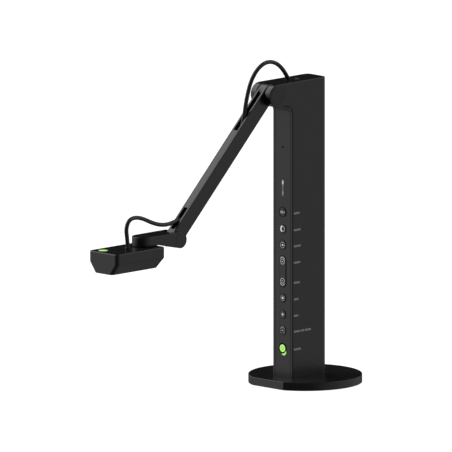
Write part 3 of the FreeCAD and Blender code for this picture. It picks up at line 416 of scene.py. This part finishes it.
def lit_plastic(name, colour, middle, rim_glow, strength, centre, rim):
    """Green plastic that glows out to its rim, and beyond the rim is painted near-black, painted shade in
    the gap round it.
    """
    f = Finish(name)
    apart = f.add("ShaderNodeVectorMath", {0: f.place, 1: centre}, operation="DISTANCE").outputs["Value"]
    uneven = f.noise(1.2 * MM)
    near_rim = f.remap(apart, rim * 0.35, rim, 0.0, 1.0)
    share = f.add("ShaderNodeMath", {
        0: near_rim, 1: f.remap(uneven, 0.3, 0.7, -0.1, 0.1),
    }, operation="ADD", use_clamp=True).outputs[0]
    # Beyond the rim the glow stops and the colour turns near-black: painted shade where the part sits in
    # its hole.
    past_rim_shade = f.remap(apart, rim + 0.05 * MM, rim + 0.3 * MM, 0.0, 1.0)
    shine = f.blend(past_rim_shade, f.blend(share, (*middle, 1.0), (*rim_glow, 1.0)), BLACK)
    normal = f.bumps(f.noise(0.7 * MM), 0.004 * MM, normal=f.rounded(0.3 * MM))
    rough = f.remap(uneven, 0.3, 0.7, 0.25, 0.38)
    return f.surface(
        Base_Color=f.blend(past_rim_shade, colour, grey(0.012)), Roughness=rough, Normal=normal,
        Emission_Color=shine, Emission_Strength=strength,
    )


def ink_with_painted_glow(name, shade, strength):
    """Pad-printed ink, thin enough for the plastic's grain to break it up, that also glows in its own
    colour: painted light that keeps the print bright.
    """
    f = Finish(name)
    broken = f.noise(0.35 * MM, detail=3.0)
    colour = f.blend(f.remap(broken, 0.35, 0.65, 0.0, 1.0), grey(shade * 0.75), grey(shade))
    rough = f.remap(broken, 0.3, 0.7, 0.45, 0.6)
    normal = f.bumps(broken, 0.01 * MM)
    # The ink's colour is fed to its emission as well: a painted glow, not a lamp.
    return f.surface(
        Base_Color=colour, Roughness=rough, Normal=normal,
        Emission_Color=colour, Emission_Strength=strength,
    )


def coated_glass(name):
    """The lens: dark behind, with a coating that turns violet at a slant."""
    f = Finish(name)
    slant = f.add("ShaderNodeLayerWeight", {"Blend": 0.4}).outputs["Facing"]
    colour = f.blend(slant, (0.004, 0.004, 0.012, 1.0), (0.03, 0.006, 0.05, 1.0))
    rough = f.remap(f.noise(2 * MM), 0.3, 0.7, 0.015, 0.04)
    return f.surface(
        Base_Color=colour, Roughness=rough, Specular_IOR_Level=0.8,
        Coat_Weight=1.0, Coat_Roughness=0.02,
    )


GREEN = (0.23, 0.60, 0.06, 1.0)
FINISHES = {
    "housing_plastic": moulded_plastic("housing_plastic", 0.010, 0.27),
    "button_plastic": moulded_plastic("button_plastic", 0.008, 0.24, grain=0.25 * MM, depth=0.001 * MM),
    "green_plastic": smooth_plastic("green_plastic", GREEN, 0.3),
    "clear_plastic": smooth_plastic("clear_plastic", (0.62, 0.64, 0.62, 1.0), 0.28),
    "inner_plastic": moulded_plastic("inner_plastic", 0.02, 0.4),
    "cable_jacket": cable_jacket("cable_jacket"),
    "black_rubber": rubber("black_rubber"),
    "zinc_steel": metal("zinc_steel", (0.45, 0.46, 0.48, 1.0), 0.32),
    "cast_weight": metal("cast_weight", (0.16, 0.16, 0.165, 1.0), 0.55, grain=0.8 * MM),
    "circuit_board": circuit_board("circuit_board"),
    "socket_metal": metal("socket_metal", (0.5, 0.5, 0.5, 1.0), 0.25, stretch=(1.0, 0.1, 1.0)),
    "anodised_black": metal("anodised_black", (0.02, 0.02, 0.022, 1.0), 0.35),
    "lens_glass": coated_glass("lens_glass"),
}


def paint(piece, material):
    """Gives a new piece one material."""
    piece.data.materials.clear()
    piece.data.materials.append(material)


def relight(node, material):
    """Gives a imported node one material."""
    for material_slot in frame["nodes"][node].material_slots:
        material_slot.material = material


for name, node in frame["nodes"].items():
    relight(name, FINISHES[node.data.materials[0].name.split(".")[0]])
for loop in cables:
    paint(loop, FINISHES["cable_jacket"])


# ---------------------------------------------------------------- printed signs, and a painted pool of green light
MARK_THICKNESS = 0.06 * MM
MARK_PROUD = 0.04 * MM  # how far a sign stands off its surface


def bar(width, height, at=(0.0, 0.0), corner=0.25, turn=0.0):
    """A rectangle with round corners, in millimetres, turned about its own middle."""
    r = min(corner, width / 2 - 0.01, height / 2 - 0.01)
    points = []
    for quarter, (sx, sy) in enumerate(((1, 1), (-1, 1), (-1, -1), (1, -1))):
        for step in range(4):
            t = math.pi / 2 * (quarter + step / 3)
            x = sx * (width / 2 - r) + r * math.cos(t)
            y = sy * (height / 2 - r) + r * math.sin(t)
            points.append((x, y))
    c, s = math.cos(turn), math.sin(turn)
    return [[(at[0] + x * c - y * s, at[1] + x * s + y * c) for x, y in points]]


def disc(radius, at=(0.0, 0.0), sides=32):
    """A filled circle, in millimetres."""
    turns = [2 * math.pi * k / sides for k in range(sides)]
    return [[(at[0] + radius * math.cos(t), at[1] + radius * math.sin(t)) for t in turns]]


def ring(inner, outer, at=(0.0, 0.0), start=0.0, sweep=360.0, sides=40):
    """A ring, or the stretch of one from start through sweep degrees, as quads."""
    quads = []
    for k in range(sides):
        a, b = (math.radians(start + sweep * (k + j) / sides) for j in (0, 1))
        corners = ((inner, a), (outer, a), (outer, b), (inner, b))
        quads.append([(at[0] + r * math.cos(t), at[1] + r * math.sin(t)) for r, t in corners])
    return quads


def rays(count, inner, outer, width):
    """Short bars round a centre, like those of a sun."""
    made = []
    middle = (inner + outer) / 2
    for k in range(count):
        t = 2 * math.pi * k / count
        at = (middle * math.cos(t), middle * math.sin(t))
        made += bar(outer - inner, width, at=at, corner=0.1, turn=t)
    return made


def sign(name, outlines, centre, across, up, out, body, material):
    """A thin sheet on a surface, a printed sign or a painted pool of light: outlines in millimetres on
    the plane of across and up, raised along out.
    """
    shape = bmesh.new()
    base = Vector(centre) + Vector(out) * (MARK_PROUD - MARK_THICKNESS)
    for outline in outlines:
        corners = [base + (Vector(across) * u + Vector(up) * v) * MM for u, v in outline]
        shape.faces.new([shape.verts.new(c) for c in corners])
    bmesh.ops.remove_doubles(shape, verts=shape.verts[:], dist=0.002 * MM)
    raised = bmesh.ops.extrude_face_region(shape, geom=shape.faces[:], use_keep_orig=True)
    moved = [g for g in raised["geom"] if isinstance(g, bmesh.types.BMVert)]
    bmesh.ops.translate(shape, verts=moved, vec=Vector(out) * MARK_THICKNESS)
    piece = mesh_piece(name, shape)
    paint(piece, material)
    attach(piece, body)
    return piece


# These inks glow with painted light so that the signs read bright.
white_ink = ink_with_painted_glow("white_ink", 0.62, strength=0.9)
dim_ink = ink_with_painted_glow("dim_ink", 0.25, strength=0.8)
grey_ink = ink_with_painted_glow("grey_ink", 0.12, strength=0.7)

ARROW_HEAD = [(1.1, 0.0), (3.0, 1.3), (3.0, -1.3)]
TURN_HEAD = [(2.2, 0.2), (3.5, 0.2), (2.9, -0.8)]
LAMP_DOTS = [(x, y) for x in (-2.1, 2.1) for y in (-0.4, -2.4)]
SIGNS = {
    "source_button": (dim_ink, bar(3.6, 2.4, at=(-1.0, 0.0)) + [ARROW_HEAD]),
    "freeze_button": (
        white_ink,
        ring(2.2, 2.5, at=(0.7, 0.0)) + ring(2.5, 3.7, at=(0.7, 0.0), start=110.0, sweep=135.0),
    ),
    "rotate_button": (
        white_ink, ring(2.8, 3.0, start=25.0, sweep=300.0) + disc(0.9, at=(0.1, 0.1)) + [TURN_HEAD],
    ),
    "brighter_button": (white_ink, disc(1.1, at=(0.2, 0.2)) + rays(8, 2.1, 2.9, 0.3)),
    "dimmer_button": (white_ink, disc(1.0, at=(0.2, 0.2)) + rays(8, 1.8, 2.3, 0.25)),
    "light_button": (
        dim_ink,
        ring(2.2, 2.8, at=(0.0, 1.0), start=10.0, sweep=170.0) + disc(0.7, at=(0.0, 0.2))
        + [outline for dot in LAMP_DOTS for outline in disc(0.5, at=dot)],
    ),
}
# The rocker's two signs: how far above its middle, and their outlines.
ROCKER_SIGNS = {
    "zoom_in_sign": (
        10.9,
        ring(2.4, 2.75, at=(0.0, -0.8)) + disc(0.55, at=(0.0, -0.8))
        + ring(3.4, 3.75, at=(0.0, 0.1), start=25.0, sweep=130.0),
    ),
    "zoom_out_sign": (
        -10.2,
        ring(2.4, 2.75, at=(0.0, 0.8)) + bar(1.5, 0.45, at=(0.0, 0.8))
        + ring(3.4, 3.75, at=(0.0, -0.1), start=205.0, sweep=130.0),
    ),
}
FRONT = {"across": (1, 0, 0), "up": (0, 0, 1), "out": (0, -1, 0)}


def cap_face(node):
    """The middle of a button's front face."""
    low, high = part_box(node)
    return Vector(((low.x + high.x) / 2, low.y, (low.z + high.z) / 2))


for button, (paint_used, outlines) in SIGNS.items():
    made = sign(
        button.replace("button", "sign"), outlines, cap_face(button), body=button + "_body",
        material=paint_used, **FRONT,
    )
for name, (rise, outlines) in ROCKER_SIGNS.items():
    middle = cap_face("zoom_rocker") + Vector((0, 0, rise * MM))
    made = sign(name, outlines, middle, body="zoom_rocker_body", material=white_ink, **FRONT)

# The lit parts: the power button, with the green light that it spills onto the panel painted on as a
# glowing sheet, the focus button, whose glow is painted light, and the bar above the buttons.
POWER_CAP = 3.6  # how far from its middle the power button is lit, in millimetres
# The panel's green round the power button is a painted pool of light, not lit by the button.
POWER_HOLE = 5.45  # the radius in millimetres outside which the panel catches its light
POWER_GLOWS = (0.30, 0.78, 0.02), (0.54, 0.92, 0.20)
SPILL_REACH = 8.0
SPILL_GLOWS = (0.33, 0.73, 0.17), (0.36, 0.76, 0.20)
# The focus button is no lamp: its glow is painted light, paler in its middle than at its rim.
FOCUS_CAP = 4.5  # how far from its middle the focus button is lit, in millimetres
FOCUS_GLOWS = (0.60, 0.86, 0.36), (0.50, 0.76, 0.28)


def top_face(node):
    """The middle of a button's top face."""
    low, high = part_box(node)
    return Vector(((low.x + high.x) / 2, (low.y + high.y) / 2, high.z))


def spill(reach, radius, bite, below=60.0, steps=24):
    """The part of a disc that lies outside a hole of radius bite, in millimetres. The disc's centre is
    this far from the hole's, and this many degrees below its right."""
    limit = math.acos((bite**2 + reach**2 - radius**2) / (2 * bite * reach))
    edge = []
    for step in range(steps + 1):
        turn = limit * (2 * step / steps - 1)
        far = reach * math.cos(turn) + math.sqrt(radius**2 - (reach * math.sin(turn))**2)
        slant = turn - math.radians(below)
        edge.append([(r * math.cos(slant), r * math.sin(slant)) for r in (bite, far)])
    return [[a[0], a[1], b[1], b[0]] for a, b in zip(edge, edge[1:])]


power_face = cap_face("power_button")
focus_face = top_face("focus_button")
relight("power_button", lit_plastic("lit_power", GREEN, *POWER_GLOWS, 0.85, power_face, POWER_CAP * MM))
# The focus button's green glow is painted light.
relight("focus_button", lit_plastic("painted_glow_focus", GREEN, *FOCUS_GLOWS, 0.75, focus_face, FOCUS_CAP * MM))
relight("status_light_pipe", lit_bar("lit_bar"))
relight("microphone", FINISHES["black_rubber"])
for side_cap in ("hinge_cap_left", "hinge_cap_right"):
    relight(side_cap, moulded_plastic(side_cap, 0.006, 0.34))
green_ink = ink_with_painted_glow("green_ink", 0.4, strength=0.6)
power_sign = sign(
    "power_sign", ring(1.7, 2.2, start=120.0, sweep=300.0) + bar(0.5, 2.0, at=(0.0, 1.6)), power_face,
    body="power_button_body", material=green_ink, **FRONT,
)
panel_face = Vector((power_face.x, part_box("front_panel")[0].y, power_face.z))
# A painted pool of green light: a glowing crescent sheet laid on the panel.
spilt_green = lit_plastic("spilt_green", GREEN, *SPILL_GLOWS, 0.85, panel_face, SPILL_REACH * MM)
green_spill = sign(
    "green_spill", spill(3.9, 3.6, POWER_HOLE), panel_face, body="root", material=spilt_green, **FRONT,
)

# Grey dashes on the column's side, in millimetres. Each row has the control that it is beside, how far
# above that control's middle it is, and the lengths of its dashes.
SIDE_MARK_START = -30.2
SIDE_MARK_HEIGHT = 2.0
SIDE_MARK_GAP = 0.9
SIDE_MARKS = [
    ("source_button", 0.0, (8.2,)),
    ("freeze_button", 0.0, (9.8,)),
    ("rotate_button", 0.0, (10.0,)),
    ("zoom_rocker", 10.2, (9.2,)),
    ("zoom_rocker", -10.2, (8.6,)),
    ("brighter_button", 0.0, (6.8,)),
    ("dimmer_button", 0.0, (6.4,)),
    ("light_button", 0.0, (9.0, 4.6, 8.8)),
    ("power_button", 0.0, (10.2,)),
]
SIDE = {"across": (0, 1, 0), "up": (0, 0, 1), "out": (1, 0, 0)}


def side_marks():
    """The rows of dashes beside the controls."""
    column_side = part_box("column_shell")[1].x
    for i, (beside, rise, lengths) in enumerate(SIDE_MARKS):
        outlines, start = [], 0.0
        for length in lengths:
            outlines += bar(length, SIDE_MARK_HEIGHT, at=(start + length / 2, 0.0), corner=0.5)
            start += length + SIDE_MARK_GAP
        height = cap_face(beside).z + rise * MM
        centre = (column_side, SIDE_MARK_START * MM, height)
        made = sign(f"side_mark_{i + 1}", outlines, centre, body="root", material=grey_ink, **SIDE)


side_marks()

# ---------------------------------------------------------------- lights, floor and world
# Soft light from a few sides: its direction, its radiance, how many degrees from that direction it stops
# being full and has faded out, and how it fades between the two.
GLOWS = [
    ((-0.74, -0.25, 0.62), 2.2, 20.0, 40.0, "SMOOTHSTEP"),
    ((-0.72, -0.68, 0.05), 0.80, 0.0, 42.0, "LINEAR"),
    ((-0.60, -0.05, -0.80), 0.35, 20.0, 62.0, "LINEAR"),
    ((0.70, 0.70, -0.10), 0.50, 0.0, 75.0, "LINEAR"),
    ((0.30, 0.65, 0.70), 1.0, 8.0, 34.0, "SMOOTHSTEP"),
    ((0.68, -0.68, -0.17), 0.09, 5.0, 60.0, "SMOOTHSTEP"),
]
AMBIENT = 0.012  # light from everywhere else
BACKDROP = 1.05  # how bright the plain white behind the object is
FLOOR_RADIUS = 3.0
FLOOR_BELOW = 0.2 * MM


def make_world():
    """Soft glows round the object, and plain white behind it."""
    world = bpy.data.worlds.new("studio")
    bpy.context.scene.world = world
    world.use_nodes = True
    tree = world.node_tree

    def wire(socket, value):
        if isinstance(value, bpy.types.NodeSocket):
            tree.links.new(value, socket)
        else:
            socket.default_value = value

    def add(kind, inputs, **settings):
        node = tree.nodes.new(kind)
        for key, value in settings.items():
            setattr(node, key, value)
        for key, value in inputs.items():
            wire(node.inputs[key], value)
        return node

    way = tree.nodes.new("ShaderNodeTexCoord").outputs["Generated"]
    total = AMBIENT
    for axis, radiance, full, faded, fade in GLOWS:
        towards = Vector(axis).normalized()
        near = add("ShaderNodeVectorMath", {0: way, 1: towards}, operation="DOT_PRODUCT").outputs["Value"]
        low, high = (math.cos(math.radians(half_angle)) for half_angle in (faded, full))
        glow = add("ShaderNodeMapRange", {
            "Value": near, "From Min": low, "From Max": high, "To Min": 0.0, "To Max": radiance,
        }, interpolation_type=fade).outputs["Result"]
        total = add("ShaderNodeMath", {0: glow, 1: total}, operation="ADD").outputs[0]
    light = add("ShaderNodeBackground", {"Color": WHITE, "Strength": total}).outputs[0]
    white = add("ShaderNodeBackground", {"Color": WHITE, "Strength": BACKDROP}).outputs[0]
    seen = tree.nodes.new("ShaderNodeLightPath").outputs["Is Camera Ray"]
    both = add("ShaderNodeMixShader", {0: seen, 1: light, 2: white}).outputs[0]
    tree.links.new(both, tree.nodes["World Output"].inputs["Surface"])


make_world()


def make_floor():
    """A plain pale floor that doesn't light or mirror in the object."""
    shape = bmesh.new()
    bmesh.ops.create_circle(shape, cap_ends=True, segments=96, radius=FLOOR_RADIUS)
    floor = mesh_piece("floor", shape)
    floor.location = (0.0, 0.0, -FLOOR_BELOW)
    f = Finish("pale_floor")
    mottle = f.noise(0.2, detail=2.0)
    shade = f.blend(f.remap(mottle, 0.3, 0.7, 0.0, 1.0), grey(0.20), grey(0.22))
    paint(floor, f.surface(
        Base_Color=shade, Roughness=0.9, Emission_Color=WHITE, Emission_Strength=1.0,
    ))
    floor.visible_glossy = False
    floor.visible_diffuse = False
    floor.visible_shadow = False


make_floor()
bpy.context.scene.view_settings.view_transform = "Standard"
bpy.context.scene.view_settings.look = "None"
